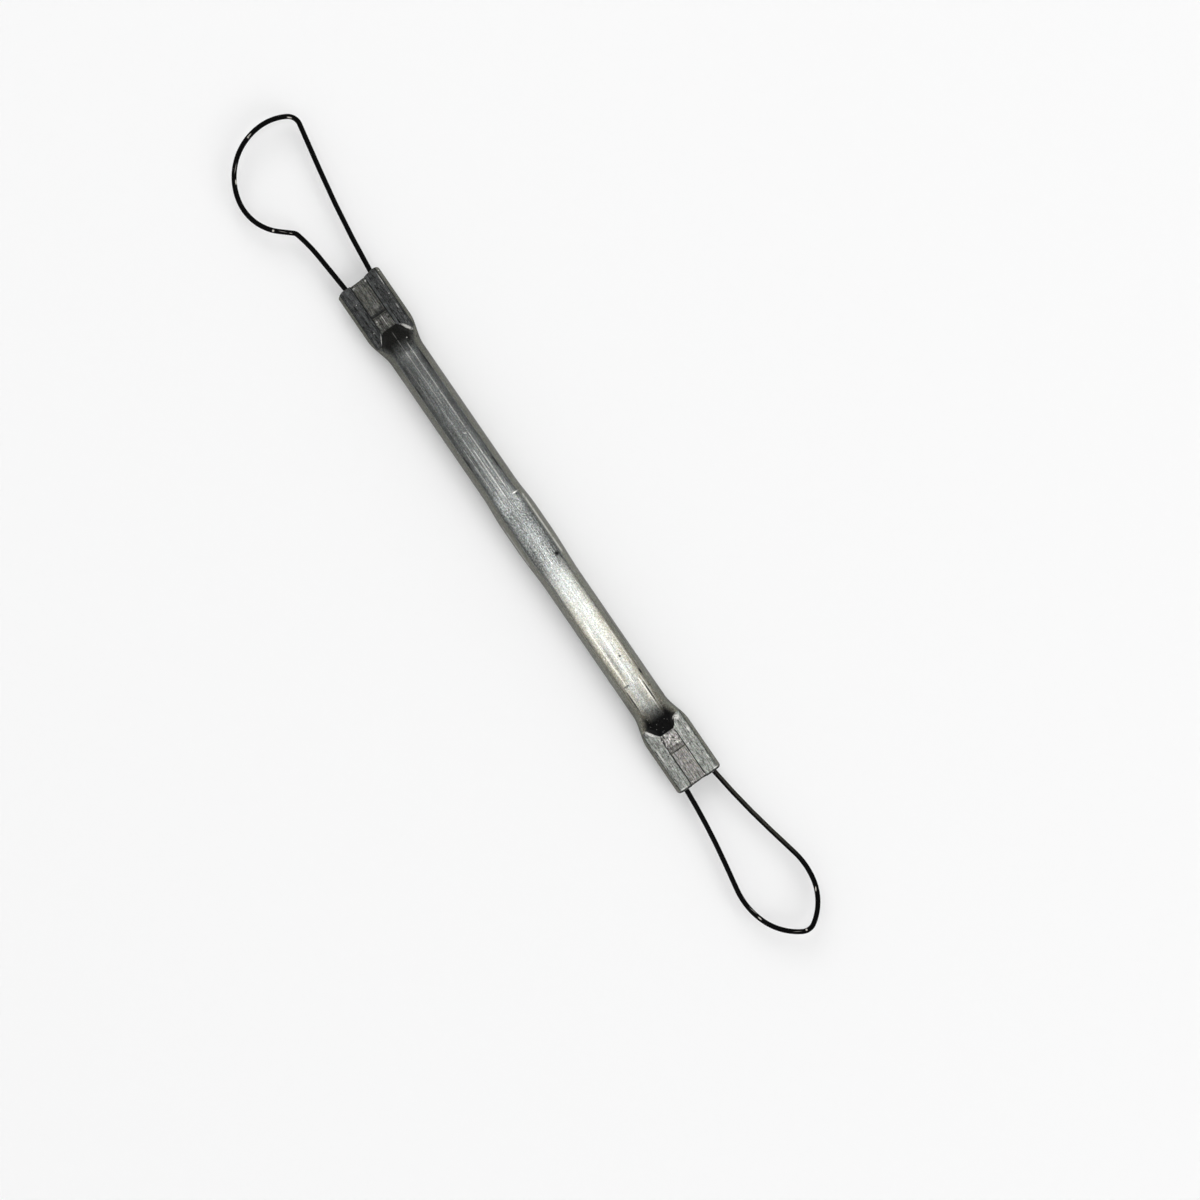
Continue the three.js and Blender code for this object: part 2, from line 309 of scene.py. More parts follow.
# small dents in the top of the pressed ends, as (x, y, reach along, reach across, depth)
dents = [
    # left end
    (-50.0, -0.2, 0.9, 1.3, 0.1), (-51.3, 0.3, 1.3, 1.0, 0.04), (-48.35, 1.05, 0.2, 0.5, 0.14),
    (-48.9, 1.1, 0.4, 0.4, -0.05), (-48.4, -1.3, 0.3, 0.3, 0.08), (-47.4, -0.8, 0.5, 0.5, 0.03),
    (-49.3, -4.1, 0.35, 0.3, 0.1), (-54.2, 3.0, 1.2, 0.6, 0.03), (-52.0, -3.0, 1.5, 0.7, 0.03),
    (-47.8, 2.9, 1.3, 0.7, 0.03),
    # right end
    (47.9, 0.47, 0.35, 0.3, 0.1), (48.6, -0.3, 0.3, 0.3, -0.05), (47.5, -1.2, 0.5, 0.4, 0.06),
    (48.9, 1.2, 0.4, 0.3, 0.06), (46.8, 0.9, 0.6, 0.5, 0.05), (46.9, -0.6, 0.5, 0.5, -0.04),
    (48.3, -1.5, 0.35, 0.3, 0.09), (50.35, -2.4, 0.25, 0.2, 0.12), (50.6, 2.3, 0.25, 0.2, 0.1),
    (53.0, 3.0, 1.4, 0.6, 0.03), (49.0, -3.1, 1.6, 0.6, 0.03), (54.6, -2.8, 1.2, 0.7, 0.03),
    (53.5, 0.3, 1.6, 0.8, 0.03),
]

seat = {
    "innerEdge": 2.1,
    "outerEdge": 3.89,
    "halfHeight": 0.54,
    "depth": 12.2,
    "overshoot": 1.0,          # the cutter begins this far outside the mouth
    "arcSteps": 10,
}

endFace = tube["length"] / 2
flatHalfWidth = tube["cadRadius"] + pressedEnd["spread"]
neckEnd = pressedEnd["slopeFoot"] + pressedEnd["neckLength"]


def smoothStep(value, low, high):
    share = np.clip((value - low) / (high - low), 0.0, 1.0)
    return share * share * (3.0 - 2.0 * share)


def softMin(a, b, softness):
    closeness = np.maximum(softness - np.abs(a - b), 0.0) / softness
    return np.minimum(a, b) - closeness ** 2 * softness / 4


def bump(value, middle, reach):   # a soft hump, 1 at the middle and 0 beyond the reach
    return smoothStep(np.abs(value - middle), reach, 0.0)


def gripAt(x):
    left = 1.0 - smoothStep(x, tube["leftGripEdge"], tube["roundFrom"])
    return np.maximum(left, smoothStep(x, tube["roundTo"], tube["rightGripEdge"]))


def pressAt(distance):
    return 1.0 - smoothStep(distance, pressedEnd["slopeFoot"], neckEnd)


def halfWidthAt(x, distance):
    width = tube["radius"] - tube["gripSqueeze"] * gripAt(x)
    width = width + (flatHalfWidth - width) * pressAt(distance)
    radius = pressedEnd["cornerRadius"]
    corner = np.clip(radius - distance, 0.0, radius)
    return width - radius + np.sqrt(radius ** 2 - corner ** 2)


def ovalHalfHeightAt(distance):
    lowest = math.sqrt(2 * tube["radius"] ** 2 - flatHalfWidth ** 2)
    return tube["radius"] + (lowest - tube["radius"]) * pressAt(distance)


def jawHalfHeightAt(distance):
    climb = math.tan(math.radians(pressedEnd["slopeAngle"]))
    return pressedEnd["landHeight"] + climb * np.maximum(distance - pressedEnd["jawFoot"], 0.0)


def footBowAt(distance, across):
    start = pressedEnd["slopeFoot"] - pressedEnd["footBowLead"]
    rise = (distance - start) / (pressedEnd["slopeFoot"] - start)
    fall = (neckEnd - distance) / (neckEnd - pressedEnd["slopeFoot"])
    share = np.clip(np.minimum(rise, fall), 0.0, 1.0)
    past = np.minimum(np.abs(across), pressedEnd["footReach"]) - pressedEnd["footStraight"]
    return share * pressedEnd["footSlant"] * (past + np.sqrt(past ** 2 + pressedEnd["footBend"])) / 2


def mouthHollowAt(end, distance, across):   # across runs from -1 at the -Y side to 1 at the +Y side
    bow = np.where(end < 0, mouth["bow"][-1], mouth["bow"][1])
    skew = np.where(end < 0, mouth["skew"][-1], mouth["skew"][1])
    share = np.maximum(1.0 - distance / mouth["depth"], 0.0)
    pastWorn = np.maximum(-across - mouth["wornFrom"], 0.0)
    worn = np.where(end < 0, *mouth["worn"]) * pastWorn ** 2 / mouth["wornScale"]
    (broad, broadTurns), (slight, slightTurns) = mouth["waves"]
    wave = broad * np.sin(across * broadTurns + end) + slight * np.sin(across * slightTurns - end)
    near = np.maximum(1.0 - distance / mouth["waveDepth"], 0.0)
    hollow = share * (bow * (1.0 - across ** 2) + skew * (1.0 - across) / 2)
    return hollow + near * (worn + np.maximum(wave, 0.0))


def punchHeightAt(end, distance):   # the height that the punch left: channel floor, rounded step, bridge
    floor, top = crimp["channelFloor"], crimp["bridgeHeight"]
    start = crimp["bridgeStart"]
    foot = np.where(end < 0, crimp["channelLength"][-1], crimp["channelLength"][1])
    along = np.clip((start - distance) / (start - foot), 0.0, 1.0)
    height = floor + (top - floor) * np.sqrt(1.0 - along ** 2)
    height = np.where(distance < foot, floor, height)
    lifted = smoothStep(distance, crimp["bridgeEnd"], crimp["bridgeEnd"] + crimp["punchLiftOver"])
    return height + crimp["punchLift"] * lifted


def ringPlaces():
    fine = np.arange(pressedEnd["fineFrom"], pressedEnd["fineReach"], pressedEnd["fineSpacing"])
    steps = [length + np.array(stepRings) for length in crimp["channelLength"].values()]
    ends = np.unique(np.round(np.concatenate([rimRings, fine, *steps]), 4))
    reach = endFace - ends[-1]
    middle = np.linspace(-reach, reach, int(2 * reach / tube["ringSpacing"]))[1:-1]
    return np.concatenate([ends - endFace, middle, (endFace - ends)[::-1]])


def columnAngles():   # round the section from +Y over the top, closer together at the channel's walls
    even = np.arange(tube["columnSpacing"], 180.0, tube["columnSpacing"])
    walls = []
    for side in (1, -1):
        place = crimp["channelOffset"] + side * crimp["channelHalfWidth"]
        spots = place + np.linspace(-crimp["wallReach"], crimp["wallReach"], crimp["wallColumns"])
        walls.append(np.degrees(np.arccos(spots / flatHalfWidth)))
    walls = np.concatenate(walls)
    even = even[np.abs(even[:, None] - walls[None, :]).min(1) > tube["columnGap"]]
    top = np.radians(np.sort(np.concatenate([even, walls])))
    return np.concatenate([[0.0], top, [math.pi], 2 * math.pi - top[::-1]])


def tubeSkin():
    x = ringPlaces()[:, None]
    angle = columnAngles()[None, :]
    end = np.where(x < 0, -1, 1)
    distance = endFace - np.abs(x)
    cosine, sine = np.cos(angle), np.sin(angle)
    bow = footBowAt(distance, flatHalfWidth * cosine)
    squaring = gripAt(x) * (1.0 - pressAt(distance))
    curve = 2.0 / (2.0 + (tube["grippedSquareness"] - 2.0) * squaring)
    radius = pressedEnd["rimRadius"]
    rim = radius - np.sqrt(radius ** 2 - np.clip(radius - distance, 0.0, radius) ** 2)
    halfWidth = halfWidthAt(x, distance + bow) - rim
    y = halfWidth * np.sign(cosine) * np.abs(cosine) ** curve
    # near the corners only the outer part is turned in, so that the channel stays straight
    straight = flatHalfWidth * cosine
    held = pressedEnd["cornerFrom"]
    turned = held + (np.abs(straight) - held) * (halfWidth - held) / (flatHalfWidth - held)
    kept = np.where(np.abs(straight) < held, straight, np.sign(cosine) * turned)
    y = np.where(distance < pressedEnd["cornerHold"], kept, y)
    oval = ovalHalfHeightAt(distance + bow) * np.abs(sine) ** curve
    softness = pressedEnd["edgeSoftness"] + pressedEnd["kneeSoftness"] * smoothStep(distance, *pressedEnd["kneeFrom"])
    height = softMin(oval, jawHalfHeightAt(distance), softness)
    share = np.clip(np.abs(y / halfWidth), 0.0, 1.0)
    inwards = distance + bow + mouthHollowAt(end, distance, y / halfWidth)
    height = height * np.sqrt(np.maximum(1.0 - (rim / pressedEnd["landHeight"]) * (1.0 + share), 0.0))
    # the punch comes down on the top only
    fromWall = np.abs(y - crimp["channelOffset"]) - crimp["channelHalfWidth"]
    wall = smoothStep(fromWall, -crimp["channelWallWidth"] / 2, crimp["channelWallWidth"] / 2)
    punched = np.minimum(height, punchHeightAt(end, inwards) - rim)
    top = punched + (height - punched) * wall
    onEnd = smoothStep(distance, neckEnd, pressedEnd["slopeFoot"])
    taper = lipShape["taper"]
    for side, half, low, high, rise in lips:
        along = bump(distance - pressedEnd["jawFoot"], lipShape["lead"], lipShape["reach"])
        across = smoothStep(half * y, low, low + taper) * smoothStep(half * y, high, high - taper)
        top = top + rise * along * across * (end == side)
    for dentX, dentY, long, wide, depth in dents:
        away = np.sqrt(((end * (endFace - inwards) - dentX) / long) ** 2 + ((y - dentY) / wide) ** 2)
        top = top - depth * smoothStep(away, 1.0, 0.0) * onEnd
    level = np.abs(sine) < 1e-9   # the two columns at the very sides
    z = np.where(level, 0.0, np.where(sine > 0.0, top, -height))
    return np.stack([end * (endFace - inwards), y, z], axis=2)


def skinFaces(rings, columns):
    ring = np.arange(rings - 1)[:, None] * columns
    column = np.arange(columns)[None, :]
    after = (column + 1) % columns
    quads = np.stack([ring + column, ring + after, ring + columns + after, ring + columns + column], axis=2)
    return quads.reshape(-1, 4).tolist()


def closeMouth(points, faces, first, columns, flip):   # a grid of faces between the rim's upper and lower side
    half = columns // 2
    levels = pressedEnd["faceLevels"]
    lines = [[first]]
    for column in range(1, half):
        top, bottom = first + column, first + columns - column
        line = [top]
        for level in range(1, levels):
            share = level / levels
            line.append(len(points))
            points.append(tuple(np.array(points[top]) * (1 - share) + np.array(points[bottom]) * share))
        lines.append([*line, bottom])
    lines.append([first + half])
    for here, after in zip(lines, lines[1:]):
        for level in range(levels):
            a, b = (here[level], here[level + 1]) if len(here) > 1 else (here[0], here[0])
            c, d = (after[level + 1], after[level]) if len(after) > 1 else (after[0], after[0])
            face = [a, b, c, d] if flip else [d, c, b, a]
            faces.append(list(dict.fromkeys(face)))


def makeObject(name, points, faces):
    mesh = bpy.data.meshes.new(name)
    mesh.from_pydata([tuple(point) for point in np.array(points) * mm], [], faces)
    mesh.validate()
    made = bpy.data.objects.new(name, mesh)
    bpy.context.scene.collection.objects.link(made)
    return made


def seatCutters():
    points, faces = [], []
    radius = seat["halfHeight"]
    angles = np.linspace(-math.pi / 2, math.pi / 2, seat["arcSteps"] + 1)
    outer = [(seat["outerEdge"] - radius + radius * math.cos(a), radius * math.sin(a)) for a in angles]
    inner = [(seat["innerEdge"] + radius - radius * math.cos(a), -radius * math.sin(a)) for a in angles]
    outline = outer + inner
    for end in (-1, 1):
        for side in (-1, 1):
            first = len(points)
            for x in (endFace + seat["overshoot"], endFace - seat["depth"]):
                points.extend((end * x, side * y, z) for y, z in outline)
            count = len(outline)
            for spot in range(count):
                after = (spot + 1) % count
                faces.append([first + spot, first + after, first + count + after, first + count + spot])
            faces.append([first + spot for spot in range(count)][::-1])
            faces.append([first + count + spot for spot in range(count)])
    cutters = makeObject("seat_cutters", points, faces)
    turnOutwards(cutters.data)
    return cutters


def turnOutwards(mesh):
    work = bmesh.new()
    work.from_mesh(mesh)
    bmesh.ops.recalc_face_normals(work, faces=work.faces)
    work.to_mesh(mesh)
    work.free()


def makeHandle():
    skin = tubeSkin()
    rings, columns = skin.shape[:2]
    points = [tuple(point) for point in skin.reshape(-1, 3)]
    faces = skinFaces(rings, columns)
    closeMouth(points, faces, 0, columns, True)
    closeMouth(points, faces, (rings - 1) * columns, columns, False)
    handle = makeObject("handle_skin", points, faces)
    turnOutwards(handle.data)
    cutters = seatCutters()
    cut = handle.modifiers.new("seats", "BOOLEAN")
    cut.operation = "DIFFERENCE"
    cut.solver = "EXACT"
    cut.object = cutters
    seen = handle.evaluated_get(bpy.context.evaluated_depsgraph_get())
    mesh = bpy.data.meshes.new_from_object(seen)
    handle.modifiers.clear()
    handle.data = mesh
    bpy.data.objects.remove(cutters)
    mesh.shade_smooth()
    mesh.set_sharp_from_angle(angle=math.radians(tube["sharpAngle"]))
    return handle


wire = {
    "radius": 0.49,
    "sides": 28,
    "bendStep": 2.0,           # degrees
    "runStep": 0.6,
    "legInsertion": 11.6,
    "mouthBendRadius": 10.0,
    "innerSeat": 2.64,         # middle of a leg at the inner and at the outer side of its seat
    "outerSeat": 3.35,
}

# bends as (radius, turn in degrees) and runs as a length, from the leg on the right to the leg on the left
squareLoop = {
    "rightLeg": (0.66, 5.1),   # place in the seat, splay in degrees
    "leftLeg": (0.08, 4.7),
    "moves": [(215, -5.7), "fitted", (2.5, 70.6), (9.9, 31.9), (11.9, "fitted"), (9.4, 59.6), "fitted",
              (1.5, -34.5), (34, -9.7), 7.7],
}

pearLoop = {
    "rightLeg": (0.69, 3.5),
    "leftLeg": (0.68, 6.5),
    "moves": [(136, -6.6), "fitted", (14.5, 30.2), (11.7, 39.6), (2.5, "fitted"), (11, 45.9), (15.3, 22.7),
              "fitted", (154, -5.8)],
}


def followWire(start, moves):   # stations of the wire's centre line: x, y and heading
    x, y = start
    heading = 0.0
    stations = [(x, y, heading)]
    for move in moves:
        if not isinstance(move, tuple):
            steps = max(1, math.ceil(abs(move) / wire["runStep"]))
            for _ in range(steps):
                x += move / steps * math.cos(heading)
                y += move / steps * math.sin(heading)
                stations.append((x, y, heading))
            continue
        turn = math.radians(move[1])
        radius = math.copysign(move[0], turn)
        centre = (x - radius * math.sin(heading), y + radius * math.cos(heading))
        steps = max(2, math.ceil(abs(move[1]) / wire["bendStep"]))
        for step in range(1, steps + 1):
            angle = heading + turn * step / steps
            x, y = centre[0] + radius * math.sin(angle), centre[1] - radius * math.cos(angle)
            stations.append((x, y, angle))
        heading += turn
    return stations


def fitMoves(start, end, moves):   # one turn brings the wire back parallel, and two runs bring it to its seat
    turned = sum(move[1] for move in moves if isinstance(move, tuple) and move[1] != "fitted")
    back = 180.0 - turned
    shaped = [(move[0], back) if isinstance(move, tuple) and move[1] == "fitted" else move for move in moves]
    runs = [number for number, move in enumerate(shaped) if isinstance(move, str)]
    shaped = [0.0 if isinstance(move, str) else move for move in shaped]
    ways = []
    for run in runs:
        heading = followWire(start, shaped[:run])[-1][2]
        ways.append((math.cos(heading), math.sin(heading)))
    last = followWire(start, shaped)[-1]
    miss = (end[0] - last[0], end[1] - last[1])
    crossing = ways[0][0] * ways[1][1] - ways[0][1] * ways[1][0]
    shaped[runs[0]] = (miss[0] * ways[1][1] - miss[1] * ways[1][0]) / crossing
    shaped[runs[1]] = (ways[0][0] * miss[1] - ways[0][1] * miss[0]) / crossing
    return shaped


def makeLoop(name, loop, end):
    offsets, held = [], []
    for place, splay in (loop["rightLeg"], loop["leftLeg"]):
        offsets.append(wire["innerSeat"] + (wire["outerSeat"] - wire["innerSeat"]) * place)
        held.append(wire["legInsertion"] - wire["mouthBendRadius"] * math.sin(math.radians(splay)))
    start = (-wire["legInsertion"], -offsets[0])
    finish = (-wire["legInsertion"], offsets[1])
    bends = [(wire["mouthBendRadius"], -loop[leg][1]) for leg in ("rightLeg", "leftLeg")]
    moves = fitMoves(start, finish, [held[0], bends[0], *loop["moves"], bends[1], held[1]])
    stations = followWire(start, moves)
    angles = np.linspace(0, 2 * math.pi, wire["sides"], endpoint=False)
    points = []
    for x, y, heading in stations:
        across = wire["radius"] * np.cos(angles)
        ring = np.stack([x - across * math.sin(heading), y + across * math.cos(heading),
                         wire["radius"] * np.sin(angles)], axis=1)
        ring[:, 0] = end * (endFace + ring[:, 0])
        ring[:, 1] = end * ring[:, 1]
        points.extend(ring)
    faces = skinFaces(len(stations), wire["sides"])
    faces.append(list(range(wire["sides"])))
    faces.append([len(points) - 1 - side for side in range(wire["sides"])])
    made = makeObject(name, points, faces)
    turnOutwards(made.data)
    made.data.shade_smooth()
    made.data.set_sharp_from_angle(angle=math.radians(tube["sharpAngle"]))
    return made


def startMaterial(name):
    material = bpy.data.materials.new(name)
    material.use_nodes = True
    tree = material.node_tree
    coordinates = tree.nodes.new("ShaderNodeTexCoord")
    place = Flow(coordinates.outputs["Object"])
    place = place.node("VectorMath", {"operation": "SCALE"}, {0: place, "Scale": 1 / mm})
    normal = Flow(coordinates.outputs["Normal"])
    return material, tree.nodes["Principled BSDF"], place, normal


def stretched(place, along, across):   # a place whose X counts for less, for marks drawn out along the handle
    return place.node("VectorMath", {"operation": "MULTIPLY"}, {0: place, 1: (along, across, across)})


noiseRoughness = 0.55


def noise(place, scale, detail):
    inputs = {"Vector": place, "Scale": scale, "Detail": detail, "Roughness": noiseRoughness}
    return place.node("TexNoise", {}, inputs)


def mixed(factor, first, second):   # colours, by a factor; 6 and 7 are the node's colour sockets
    inputs = {"Factor": factor}
    for socket, colour in ((6, first), (7, second)):
        inputs[socket] = colour if isinstance(colour, Flow) else (*colour, 1.0)
    return factor.node("Mix", {"data_type": "RGBA"}, inputs, 2)


def scaled(colour, factor):
    return colour.node("VectorMath", {"operation": "SCALE"}, {0: colour, "Scale": factor})


def plug(flow, surface, name):
    surface.id_data.links.new(flow.socket, surface.inputs[name])


drawnAluminium = {
    "clean": (0.262, 0.274, 0.268),
    "worn": (0.19, 0.199, 0.194),
    "warm": (0.286, 0.275, 0.228),
    # painted shade on the sides of the tube, darker on the left half
    "leftSideShade": (0.146, 0.147, 0.124),
    "rightSideShade": (0.186, 0.188, 0.158),
    "under": (0.44, 0.45, 0.43),   # not seen in the photograph
    # dark of dirt and pits, also used for the painted shade and painted shadows
    "dirtAndShade": (0.02, 0.021, 0.021),
    # colour of bare metal in chips and bright marks, and of the painted highlights
    "bare": (0.85, 0.84, 0.8),
    # painted shade on the left end and painted light on the right end
    "leftLandShade": (0.058, 0.06, 0.06),
    "rightLandLight": (0.273, 0.283, 0.264),
    "leftChannelShade": (0.094, 0.094, 0.086),
    "rightChannelLight": (0.289, 0.281, 0.266),
    # painted shade on the slopes of the necks
    "leftSlopeShade": (0.02, 0.02, 0.0185),
    "rightSlopeShade": (0.011, 0.011, 0.011),
    "warmEdges": 0.7,          # how much the warm colour gathers away from the top line, and in clouds
    "warmClouds": 1.4,
    "warmEverywhere": 0.3,
    "leftShade": 0.5,              # painted shade: how much darker the tube gets towards the left neck
    "grain": 1.8,              # how strongly each pattern varies the colour
    "fineLines": 0.9,
    "endStreaks": 2.4,
    "endScuffs": 3.2,
    "hammering": 1.8,
    "middleDarkness": 0.09,    # of the round middle, where the grain is stronger too
    "paleBridge": 0.25,        # on the right end
    "stepShade": (0.45, 0.35),   # painted shade of the rounded step, and how much less on the right end
    "sideRaggedness": 0.16,    # of the line where the sides begin
    "sideShift": 0.04,         # and how much lower down they begin on the right half
    # painted shade on faces that turn sideways
    "uprightShade": 0.6,
    "pitDirt": 0.6,
    "wallShade": (0.95, 0.2),   # painted shade at the foot of the channel's walls, and how much less on the right end
    # painted shade along the folds at the edges of the pressed ends
    "foldShade": 0.8,
    # painted shade along the rim of the right end
    "rimShade": 0.85,
    "chips": (0.08, 0.2),      # how bare they are, and how much more on the right half
    "slopeTaper": 0.3,         # how fast the painted shade of a slope narrows on its way up
    "roughness": 0.1,
    "fineRoughness": 0.1,      # how much the fine lines and the clouds vary it
    "cloudRoughness": 0.08,
    "kneeRoughness": 0.22,     # these three on top of the rest
    "slopeRoughness": 0.25,
    "sideRoughness": 0.35,
    "pressedRoughness": 0.36,  # this one in place of the tube's
    "sideDullness": 0.45,      # how much less metallic the sides and torn metal are
    "tornDullness": 0.7,
    "streakHeight": 0.6,       # parts of the relief, and the depth of the whole
    "fineHeight": 0.25,
    "grainHeight": 0.02,
    "hammeredHeight": 0.5,
    "reliefDepth": 0.02,
}

# patterns in the metal, as (scale along the handle, scale across it, scale of both, detail)
patterns = {
    "streaks": (0.05, 3.5, 1.0, 2.0),
    "fine": (0.3, 5.0, 1.0, 1.0),
    "cloud": (1.0, 1.0, 0.5, 2.0),
    "grain": (0.8, 1.2, 4.0, 1.0),
    "sparkle": (1.0, 1.0, 3.1, 1.0),
    "scuffed": (0.45, 1.6, 2.0, 4.0),
    "hammered": (1.0, 1.0, 1.7, 2.0),
    "chipped": (0.6, 1.4, 2.3, 1.0),
    "dashed": (1.3, 0.5, 1.0, 2.0),
}

# where the looks begin and end. The first number is where it is 0 and the second where it is 1,
# and where there are three, it is 1 between the first two with ends as soft as the third.
zones = {
    # by height, and by x
    "top": (-0.1, 0.3),
    "rightHalf": (-0.5, 0.5),
    "rightSideShade": (-30.0, 20.0),
    "warmth": (0.0, 30.0),
    "leftShade": (-32.0, -44.0),
    "roundMiddle": (-7.0, 8.0, 1.5),
    # by the distance from the middle line
    "warmEdge": (0.6, 2.1),
    "flatEdge": (4.2, 4.3),
    "foldLine": (4.2, 0.16),   # a middle and a reach
    # by the distance from the middle line of the channel
    "channel": (1.7, 1.6),
    "wallFoot": (0.14, 0.07),  # from its walls
    # by the distance from the mouth
    "rim": (0.5, 0.35),
    "wallRun": (0.5, 10.6, 0.2),
    "step": (7.35, 8.4, 0.15),
    "bridge": (8.3, 8.6),
    # by the distance behind the foot of the slope
    "pressed": (0.1, -0.1),
    "slopeFrom": (-0.15, 0.1),
    "slopeTo": (6.0, 2.8),
    "slopeWidth": (3.9, 2.9),
    "knee": (8.5, 5.0),
    "torn": (2.5, 1.5),
    # by how far the surface faces up, or outwards
    "sides": (0.8, 0.66),
    "upright": (0.55, 0.1),
    "under": (0.05, -0.2),
    "outward": (-0.1, 0.05),
    # by the strength of a pattern
    "cleanStreaks": (0.35, 0.65),
    "brokenFolds": (0.25, 0.5),
    "darkParts": (0.12, 0.34),
    "brightParts": (0.33, 0.45),
    "pits": (0.71, 0.75),
    "chips": (0.7, 0.76),
    "dashes": (0.3, 0.42),
}

# marks seen on the top, as (x, y, turn in degrees, length, width, strength); painted highlights on rims, lips and
# step edges are among the bright ones
brightMarksAndHighlights = [
    # left end: rim, lands, bridge, lips
    (-56.6, 4.55, 0, 0.5, 0.25, 0.81), (-56.5, 1.35, 70, 0.6, 0.4, 0.9), (-56.45, -1.4, 70, 0.7, 0.4, 1),
    (-54.9, 3.9, 2, 2.6, 0.24, 0.61), (-49.1, 3.7, 0, 1.8, 0.3, 0.25), (-44.75, 2.95, 30, 2.4, 1.1, 0.75),
    (-45.7, 2.35, 45, 0.9, 0.35, 0.5), (-45.5, -2.5, -35, 2.0, 0.24, 0.81), (-48.3, 0.05, 0, 3.0, 0.24, 0.5),
    (-48.7, -1.3, -75, 0.7, 0.4, 0.35), (-48.2, -1.5, 60, 0.5, 0.24, 0.4), (-48.75, 1.2, 75, 0.9, 0.5, 0.22),
    (-51.2, 0.25, 90, 1.6, 1.0, 0.12), (-42.9, 1.75, 60, 0.5, 0.25, 0.68), (-53.5, -2.7, 10, 0.3, 0.25, 0.54),
    (-47.2, -3.0, 0, 0.3, 0.25, 0.54), (-51.9, 3.7, 80, 0.4, 0.24, 0.54),
    # left half and round middle
    (-21.8, 0.5, 45, 0.9, 0.24, 0.68), (-7.3, 2.15, 90, 2.0, 0.34, 1), (-7.1, -0.4, 86, 4.0, 0.24, 0.15),
    # right end
    (45.0, 3.05, -46, 2.1, 1.1, 0.9), (44.7, 2.5, -40, 1.2, 0.24, 0.68), (45.0, -2.9, 30, 2.3, 1.0, 1.0),
    (45.9, -2.15, 32, 1.0, 0.24, 0.68), (48.1, 3.68, 0, 2.8, 0.4, 0.6), (54.4, 3.8, 4, 1.3, 0.24, 0.81),
    (56.95, 1.4, -60, 0.6, 0.4, 1), (56.9, -1.2, 70, 0.9, 0.25, 0.81), (57.05, 3.8, 90, 1.4, 0.4, 0.7),
    (57.0, -3.5, 90, 1.6, 0.4, 0.6), (47.9, 2.08, 0, 4.0, 0.24, 0.54), (50.4, 2.15, 60, 0.5, 0.4, 1),
    (48.6, 0.7, 51, 2.4, 0.24, 0.68), (48.35, -1.45, -35, 1.9, 0.24, 0.68), (48.8, 0.35, 85, 1.0, 0.24, 0.68),
    (46.9, -0.6, 0, 0.8, 0.7, 0.41), (47.4, -1.75, 0, 0.5, 0.3, 0.81), (49.6, -3.66, 0, 5.5, 0.45, 0.4),
]

# dark marks, with painted shadows among them at the left end's rounded step and along the grip steps, as above
darkMarksAndShadows = [
    (-49.95, -0.1, 90, 3.6, 1.6, 0.8), (-50.3, 0.2, 90, 3.0, 2.2, 0.55), (-48.3, 1.1, 90, 0.9, 0.24, 1),
    (-49.3, -4.1, 0, 0.6, 0.35, 1), (-42.2, 3.4, -20, 0.6, 0.25, 0.94), (-44.0, -3.15, -15, 1.2, 0.35, 1),
    (-42.0, -3.6, 0, 0.4, 0.24, 0.94), (-32.5, -0.93, 0, 2.6, 0.24, 0.81), (-27.6, -3.04, 0, 0.4, 0.3, 0.81),
    (-16.4, -0.93, 0, 4.8, 0.24, 0.68), (-37.6, 2.38, 0, 10.0, 0.4, 0.68), (-13.9, 2.3, 0, 4.0, 0.35, 0.94),
    (-33.0, -2.27, 0, 4.5, 0.3, 0.81), (-16.6, -2.3, 0, 5.5, 0.3, 0.81), (6.7, 2.0, 90, 1.6, 0.9, 1),
    (29.6, -0.85, 0, 11.5, 0.9, 0.45), (37.9, 0.35, 0, 7.6, 1.5, 0.3), (7.3, 2.43, 0, 2.4, 0.25, 0.94),
    (-6.9, 2.1, 0, 0.6, 0.4, 0.81), (24.4, 3.2, 0, 12.0, 0.24, 0.68), (23.4, 3.1, 0, 0.5, 0.3, 0.81),
    (29.4, 0.83, 20, 0.7, 0.6, 0.94), (33.9, 2.4, 0, 1.8, 0.4, 1), (34.9, -1.45, 88, 2.0, 0.4, 0.9),
    (38.0, -2.0, 0.5, 6.8, 0.36, 1), (38.0, 1.72, -0.5, 7.4, 0.36, 1), (37.0, 2.4, 80, 0.7, 0.3, 0.81),
    (38.5, -0.5, 90, 0.8, 0.24, 0.54), (50.4, -0.1, 90, 3.4, 0.3, 1), (50.35, -2.4, 30, 0.4, 0.3, 1),
    (50.65, 2.35, 0, 0.35, 0.25, 1), (47.9, 0.47, 60, 0.5, 0.24, 1), (48.7, -1.5, 0, 0.35, 0.25, 0.94),
    (42.1, 2.17, 0, 0.35, 0.3, 0.94), (52.0, -0.75, 0, 0.3, 0.24, 0.68), (12.6, -2.3, 0, 14.0, 0.3, 0.54),
    (45.8, 2.0, -35, 1.2, 0.3, 0.94),
]

markShape = {
    "turns": 15,               # degrees, to which the turns are rounded
    "slimness": 4.0,           # lengths over widths are rounded to powers of this
    "solid": 0.35,             # share of its reach within which a mark is whole
    "flattened": 1e6,          # a mark goes through the metal from top to bottom
}


